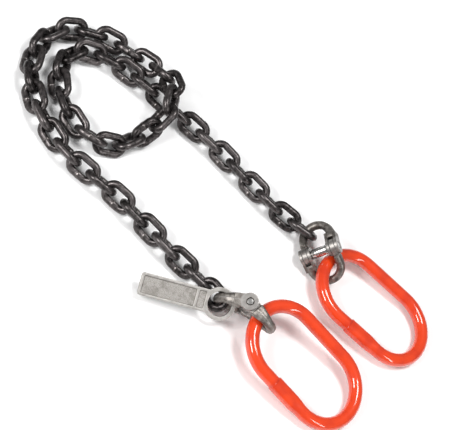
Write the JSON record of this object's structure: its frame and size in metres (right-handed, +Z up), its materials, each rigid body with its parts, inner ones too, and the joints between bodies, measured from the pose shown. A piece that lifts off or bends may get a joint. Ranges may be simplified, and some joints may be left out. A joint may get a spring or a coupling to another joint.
{
  "type": "chain sling",
  "caption": "Single length of short link lifting chain, laid in loose turns, with a forged coupling link and an oblong master link at each end and a flat identification tag at one end.",
  "frame": {"origin": "middle of the foot of the box round the sling as it lies on the floor", "axes": "+Z up, +X along the two straight runs of chain towards the master links, +Y across them from the near run to the far one"},
  "size_m": [0.479, 0.225, 0.0451],
  "materials": {
    "blackened_steel": "blackened, satin",
    "forged_steel": "forged, satin",
    "bright_steel": "turned, bright",
    "cast_steel": "cast, matt",
    "orange_paint": "gloss"
  },
  "bodies": {
    "chain_link_01": {"chain_link_01": "blackened_steel"},
    "chain_link_02": {"chain_link_02": "blackened_steel"},
    "chain_link_03": {"chain_link_03": "blackened_steel"},
    "chain_link_04": {"chain_link_04": "blackened_steel"},
    "chain_link_05": {"chain_link_05": "blackened_steel"},
    "chain_link_06": {"chain_link_06": "blackened_steel"},
    "chain_link_07": {"chain_link_07": "blackened_steel"},
    "chain_link_08": {"chain_link_08": "blackened_steel"},
    "chain_link_09": {"chain_link_09": "blackened_steel"},
    "chain_link_10": {"chain_link_10": "blackened_steel"},
    "chain_link_11": {"chain_link_11": "blackened_steel"},
    "chain_link_12": {"chain_link_12": "blackened_steel"},
    "chain_link_13": {"chain_link_13": "blackened_steel"},
    "chain_link_14": {"chain_link_14": "blackened_steel"},
    "chain_link_15": {"chain_link_15": "blackened_steel"},
    "chain_link_16": {"chain_link_16": "blackened_steel"},
    "chain_link_17": {"chain_link_17": "blackened_steel"},
    "chain_link_18": {"chain_link_18": "blackened_steel"},
    "chain_link_19": {"chain_link_19": "blackened_steel"},
    "chain_link_20": {"chain_link_20": "blackened_steel"},
    "chain_link_21": {"chain_link_21": "blackened_steel"},
    "chain_link_22": {"chain_link_22": "blackened_steel"},
    "chain_link_23": {"chain_link_23": "blackened_steel"},
    "chain_link_24": {"chain_link_24": "blackened_steel"},
    "chain_link_25": {"chain_link_25": "blackened_steel"},
    "chain_link_26": {"chain_link_26": "blackened_steel"},
    "chain_link_27": {"chain_link_27": "blackened_steel"},
    "chain_link_28": {"chain_link_28": "blackened_steel"},
    "chain_link_29": {"chain_link_29": "blackened_steel"},
    "chain_link_30": {"chain_link_30": "blackened_steel"},
    "chain_link_31": {"chain_link_31": "blackened_steel"},
    "chain_link_32": {"chain_link_32": "blackened_steel"},
    "chain_link_33": {"chain_link_33": "blackened_steel"},
    "chain_link_34": {"chain_link_34": "blackened_steel"},
    "chain_link_35": {"chain_link_35": "blackened_steel"},
    "chain_link_36": {"chain_link_36": "blackened_steel"},
    "chain_link_37": {"chain_link_37": "blackened_steel"},
    "chain_link_38": {"chain_link_38": "blackened_steel"},
    "chain_link_39": {"chain_link_39": "blackened_steel"},
    "chain_link_40": {"chain_link_40": "blackened_steel"},
    "chain_link_41": {"chain_link_41": "blackened_steel"},
    "chain_link_42": {"chain_link_42": "blackened_steel"},
    "chain_link_43": {"chain_link_43": "blackened_steel"},
    "chain_link_44": {"chain_link_44": "blackened_steel"},
    "chain_link_45": {"chain_link_45": "blackened_steel"},
    "chain_link_46": {"chain_link_46": "blackened_steel"},
    "chain_link_47": {"chain_link_47": "blackened_steel"},
    "chain_link_48": {"chain_link_48": "blackened_steel"},
    "chain_link_49": {"chain_link_49": "blackened_steel"},
    "near_coupler_chain_side": {"near_coupler_chain_half": "forged_steel", "near_coupler_pin": "bright_steel", "near_coupler_sleeve": "bright_steel"},
    "near_coupler_master_side": {"near_coupler_master_half": "forged_steel"},
    "near_master_link": {"near_master_link": "orange_paint"},
    "far_coupler_chain_side": {"far_coupler_chain_half": "forged_steel", "far_coupler_pin": "bright_steel", "far_coupler_sleeve": "bright_steel"},
    "far_coupler_master_side": {"far_coupler_master_half": "forged_steel"},
    "far_master_link": {"far_master_link": "orange_paint"},
    "identification_tag": {"identification_tag": "cast_steel"}
  },
  "joints": [
    {"name": "near_coupler_swing", "type": "hinge", "parent": "chain_link_01", "child": "near_coupler_chain_side", "pos_m": [0.06554, -0.05828, 0.01358], "axis": [-0.0634, -0.7074, -0.7039], "range_deg": [-17, 5]},
    {"name": "near_coupler_fold", "type": "hinge", "parent": "near_coupler_chain_side", "child": "near_coupler_master_side", "pos_m": [0.08149, -0.04453, 0.02377], "axis": [-0.1391, -0.4412, 0.8866], "range_deg": [-35, 35]},
    {"name": "near_master_link_swing", "type": "hinge", "parent": "near_coupler_master_side", "child": "near_master_link", "pos_m": [0.09567, -0.047, 0.02679], "axis": [-0.0482, 0.9951, 0.0862], "range_deg": [-54, 54]},
    {"name": "far_coupler_swing", "type": "hinge", "parent": "chain_link_49", "child": "far_coupler_chain_side", "pos_m": [0.08439, 0.07766, 0.01161], "axis": [-0.1578, 0.6893, -0.7071], "range_deg": [-35, 5]},
    {"name": "far_coupler_fold", "type": "hinge", "parent": "far_coupler_chain_side", "child": "far_coupler_master_side", "pos_m": [0.09778, 0.06203, 0.02177], "axis": [0.3782, 0.5106, 0.7722], "range_deg": [-72, 35]},
    {"name": "far_master_link_swing", "type": "hinge", "parent": "far_coupler_master_side", "child": "far_master_link", "pos_m": [0.1114, 0.05889, 0.01756], "axis": [-0.1271, 0.9919, 0], "range_deg": [-29, 54]},
    {"name": "tag_swing", "type": "hinge", "parent": "near_coupler_chain_side", "child": "identification_tag", "pos_m": [0.06121, -0.06376, 0.01936], "axis": [0.2123, -0.4733, 0.8549], "range_deg": [-90, 90]},
    {"name": "link_28_swing", "type": "hinge", "parent": "chain_link_27", "child": "chain_link_28", "pos_m": [-0.10057, 0.00728, 0.00995], "axis": [0.7494, 0.234, -0.6194], "range_deg": [-14, 0]},
    {"name": "link_29_swing", "type": "hinge", "parent": "chain_link_28", "child": "chain_link_29", "pos_m": [-0.10805, -0.01281, 0.01073], "axis": [-0.6729, 0.2208, -0.706], "range_deg": [0, 3]},
    {"name": "link_30_swing", "type": "hinge", "parent": "chain_link_29", "child": "chain_link_30", "pos_m": [-0.12412, -0.02639, 0.01135], "axis": [-0.437, 0.5603, 0.7036], "range_deg": [-2, 11]},
    {"name": "link_31_swing", "type": "hinge", "parent": "chain_link_30", "child": "chain_link_31", "pos_m": [-0.14485, -0.02961, 0.0107], "axis": [0.0817, -0.7056, 0.7039], "range_deg": [-35, 1]},
    {"name": "link_32_swing", "type": "hinge", "parent": "chain_link_31", "child": "chain_link_32", "pos_m": [-0.16497, -0.0241, 0.01127], "axis": [-0.2082, -0.6778, -0.7051], "range_deg": [-4, 11]},
    {"name": "link_33_swing", "type": "hinge", "parent": "chain_link_32", "child": "chain_link_33", "pos_m": [-0.18291, -0.01366, 0.01086], "axis": [0.3683, 0.6045, -0.7063], "range_deg": [-3, 35]},
    {"name": "link_34_swing", "type": "hinge", "parent": "chain_link_33", "child": "chain_link_34", "pos_m": [-0.19779, 0.00081, 0.01117], "axis": [0.5012, 0.4997, 0.7065], "range_deg": [-9, 2]},
    {"name": "link_35_swing", "type": "hinge", "parent": "chain_link_34", "child": "chain_link_35", "pos_m": [-0.20537, 0.02029, 0.0108], "axis": [-0.666, -0.2426, 0.7054], "range_deg": [-15, 3]},
    {"name": "link_36_swing", "type": "hinge", "parent": "chain_link_35", "child": "chain_link_36", "pos_m": [-0.19954, 0.04061, 0.0114], "axis": [-0.6746, 0.2255, -0.7029], "range_deg": [-1, 21]},
    {"name": "link_37_swing", "type": "hinge", "parent": "chain_link_36", "child": "chain_link_37", "pos_m": [-0.18241, 0.05297, 0.01064], "axis": [0.3872, -0.5972, -0.7025], "range_deg": [-4, 1]},
    {"name": "link_38_swing", "type": "hinge", "parent": "chain_link_37", "child": "chain_link_38", "pos_m": [-0.16256, 0.05909, 0.01124], "axis": [0.1887, -0.6828, 0.7058], "range_deg": [-35, 1]},
    {"name": "link_39_swing", "type": "hinge", "parent": "chain_link_38", "child": "chain_link_39", "pos_m": [-0.14223, 0.06301, 0.01096], "axis": [-0.1244, 0.6963, 0.7069], "range_deg": [-5, 35]},
    {"name": "link_40_swing", "type": "hinge", "parent": "chain_link_39", "child": "chain_link_40", "pos_m": [-0.12169, 0.0656, 0.01106], "axis": [-0.0848, 0.702, -0.7071], "range_deg": [-22, 35]},
    {"name": "link_41_swing", "type": "hinge", "parent": "chain_link_40", "child": "chain_link_41", "pos_m": [-0.10105, 0.0672, 0.01101], "axis": [0.0529, -0.7051, -0.7071], "range_deg": [-35, 35]},
    {"name": "link_42_swing", "type": "hinge", "parent": "chain_link_41", "child": "chain_link_42", "pos_m": [-0.08042, 0.06885, 0.01103], "axis": [0.0554, -0.7049, 0.7071], "range_deg": [-35, 35]},
    {"name": "link_43_swing", "type": "hinge", "parent": "chain_link_42", "child": "chain_link_43", "pos_m": [-0.05979, 0.07058, 0.01103], "axis": [-0.0594, 0.7046, 0.7071], "range_deg": [-35, 35]},
    {"name": "link_44_swing", "type": "hinge", "parent": "chain_link_43", "child": "chain_link_44", "pos_m": [-0.03909, 0.0711, 0.01106], "axis": [-0.0168, 0.7069, -0.7071], "range_deg": [-35, 35]},
    {"name": "link_45_swing", "type": "hinge", "parent": "chain_link_44", "child": "chain_link_45", "pos_m": [-0.0184, 0.07052, 0.011], "axis": [-0.0215, -0.7068, -0.7071], "range_deg": [-35, 35]},
    {"name": "link_46_swing", "type": "hinge", "parent": "chain_link_45", "child": "chain_link_46", "pos_m": [0.0023, 0.07012, 0.01102], "axis": [-0.0145, -0.707, 0.7071], "range_deg": [-35, 35]},
    {"name": "link_47_swing", "type": "hinge", "parent": "chain_link_46", "child": "chain_link_47", "pos_m": [0.023, 0.06977, 0.01101], "axis": [0.0123, 0.707, 0.7071], "range_deg": [-35, 35]},
    {"name": "link_48_swing", "type": "hinge", "parent": "chain_link_47", "child": "chain_link_48", "pos_m": [0.04369, 0.07034, 0.01109], "axis": [-0.0167, 0.7069, -0.7071], "range_deg": [-35, 35]},
    {"name": "link_49_swing", "type": "hinge", "parent": "chain_link_48", "child": "chain_link_49", "pos_m": [0.06424, 0.07285, 0.01141], "axis": [0.0966, -0.7007, -0.7069], "range_deg": [-35, 35]},
    {"name": "link_26_swing", "type": "hinge", "parent": "chain_link_27", "child": "chain_link_26", "pos_m": [-0.09698, 0.03154, 0.02345], "axis": [-0.7494, -0.234, 0.6194], "range_deg": [-14, 1]},
    {"name": "link_25_swing", "type": "hinge", "parent": "chain_link_26", "child": "chain_link_25", "pos_m": [-0.0981, 0.04826, 0.03583], "axis": [0.7138, -0.385, 0.5851], "range_deg": [0, 7]},
    {"name": "link_24_swing", "type": "hinge", "parent": "chain_link_25", "child": "chain_link_24", "pos_m": [-0.1114, 0.06663, 0.03447], "axis": [0.5985, 0.381, -0.7047], "range_deg": [-2, 35]},
    {"name": "link_23_swing", "type": "hinge", "parent": "chain_link_24", "child": "chain_link_23", "pos_m": [-0.1264, 0.07939, 0.02808], "axis": [-0.2921, -0.6801, -0.6724], "range_deg": [-6, 35]},
    {"name": "link_22_swing", "type": "hinge", "parent": "chain_link_23", "child": "chain_link_22", "pos_m": [-0.14296, 0.08375, 0.01526], "axis": [-0.6032, -0.5247, 0.6008], "range_deg": [-5, 4]},
    {"name": "link_21_swing", "type": "hinge", "parent": "chain_link_22", "child": "chain_link_21", "pos_m": [-0.16418, 0.08084, 0.01175], "axis": [-0.2089, 0.7014, 0.6815], "range_deg": [-35, 8]},
    {"name": "link_20_swing", "type": "hinge", "parent": "chain_link_21", "child": "chain_link_20", "pos_m": [-0.18441, 0.07693, 0.00973], "axis": [-0.0665, 0.7075, -0.7036], "range_deg": [-11, 35]},
    {"name": "link_19_swing", "type": "hinge", "parent": "chain_link_20", "child": "chain_link_19", "pos_m": [-0.2029, 0.06714, 0.0119], "axis": [0.2646, -0.6563, -0.7065], "range_deg": [-7, 35]},
    {"name": "link_18_swing", "type": "hinge", "parent": "chain_link_19", "child": "chain_link_18", "pos_m": [-0.2191, 0.05411, 0.00966], "axis": [0.3822, -0.5962, 0.706], "range_deg": [-35, 6]},
    {"name": "link_17_swing", "type": "hinge", "parent": "chain_link_18", "child": "chain_link_17", "pos_m": [-0.22997, 0.03619, 0.01285], "axis": [-0.5438, 0.455, 0.7052], "range_deg": [-35, 3]},
    {"name": "link_16_swing", "type": "hinge", "parent": "chain_link_17", "child": "chain_link_16", "pos_m": [-0.23194, 0.01506, 0.00936], "axis": [-0.6854, 0.1804, -0.7055], "range_deg": [-7, 35]},
    {"name": "link_15_swing", "type": "hinge", "parent": "chain_link_16", "child": "chain_link_15", "pos_m": [-0.22583, -0.00518, 0.01235], "axis": [0.7, 0.1069, -0.7061], "range_deg": [-3, 35]},
    {"name": "link_14_swing", "type": "hinge", "parent": "chain_link_15", "child": "chain_link_14", "pos_m": [-0.21416, -0.02261, 0.00989], "axis": [0.6301, 0.3225, 0.7064], "range_deg": [-35, 3]},
    {"name": "link_13_swing", "type": "hinge", "parent": "chain_link_14", "child": "chain_link_13", "pos_m": [-0.19845, -0.03641, 0.01191], "axis": [-0.5159, -0.4842, 0.7067], "range_deg": [-35, 12]},
    {"name": "link_12_swing", "type": "hinge", "parent": "chain_link_13", "child": "chain_link_12", "pos_m": [-0.18046, -0.04689, 0.01026], "axis": [-0.4034, -0.5812, -0.7068], "range_deg": [-19, 35]},
    {"name": "link_11_swing", "type": "hinge", "parent": "chain_link_12", "child": "chain_link_11", "pos_m": [-0.16094, -0.05405, 0.01165], "axis": [0.2875, 0.6463, -0.7069], "range_deg": [-27, 35]},
    {"name": "link_10_swing", "type": "hinge", "parent": "chain_link_11", "child": "chain_link_10", "pos_m": [-0.14064, -0.05836, 0.01024], "axis": [0.1936, 0.6805, 0.7067], "range_deg": [-35, 35]},
    {"name": "link_09_swing", "type": "hinge", "parent": "chain_link_10", "child": "chain_link_09", "pos_m": [-0.11984, -0.05874, 0.01168], "axis": [-0.0616, -0.7047, 0.7069], "range_deg": [-35, 35]},
    {"name": "link_08_swing", "type": "hinge", "parent": "chain_link_09", "child": "chain_link_08", "pos_m": [-0.09924, -0.05614, 0.01079], "axis": [0.0581, -0.7048, -0.7071], "range_deg": [-35, 35]},
    {"name": "link_07_swing", "type": "hinge", "parent": "chain_link_08", "child": "chain_link_07", "pos_m": [-0.07878, -0.05297, 0.01059], "axis": [-0.115, 0.6978, -0.707], "range_deg": [-35, 35]},
    {"name": "link_06_swing", "type": "hinge", "parent": "chain_link_07", "child": "chain_link_06", "pos_m": [-0.05805, -0.05264, 0.01131], "axis": [-0.0358, 0.7062, 0.7071], "range_deg": [-35, 35]},
    {"name": "link_05_swing", "type": "hinge", "parent": "chain_link_06", "child": "chain_link_05", "pos_m": [-0.03735, -0.05346, 0.01102], "axis": [-0.018, -0.7069, 0.7071], "range_deg": [-35, 35]},
    {"name": "link_04_swing", "type": "hinge", "parent": "chain_link_05", "child": "chain_link_04", "pos_m": [-0.01666, -0.05405, 0.01104], "axis": [-0.0196, -0.7068, -0.7071], "range_deg": [-35, 35]},
    {"name": "link_03_swing", "type": "hinge", "parent": "chain_link_04", "child": "chain_link_03", "pos_m": [0.00403, -0.05468, 0.01125], "axis": [0.0285, 0.7066, -0.7071], "range_deg": [-35, 35]},
    {"name": "link_02_swing", "type": "hinge", "parent": "chain_link_03", "child": "chain_link_02", "pos_m": [0.02473, -0.05393, 0.01089], "axis": [-0.0131, 0.707, 0.7071], "range_deg": [-35, 35]},
    {"name": "link_01_swing", "type": "hinge", "parent": "chain_link_02", "child": "chain_link_01", "pos_m": [0.04541, -0.05332, 0.01041], "axis": [0.037, -0.7063, 0.7069], "range_deg": [-35, 35]}
  ]
}
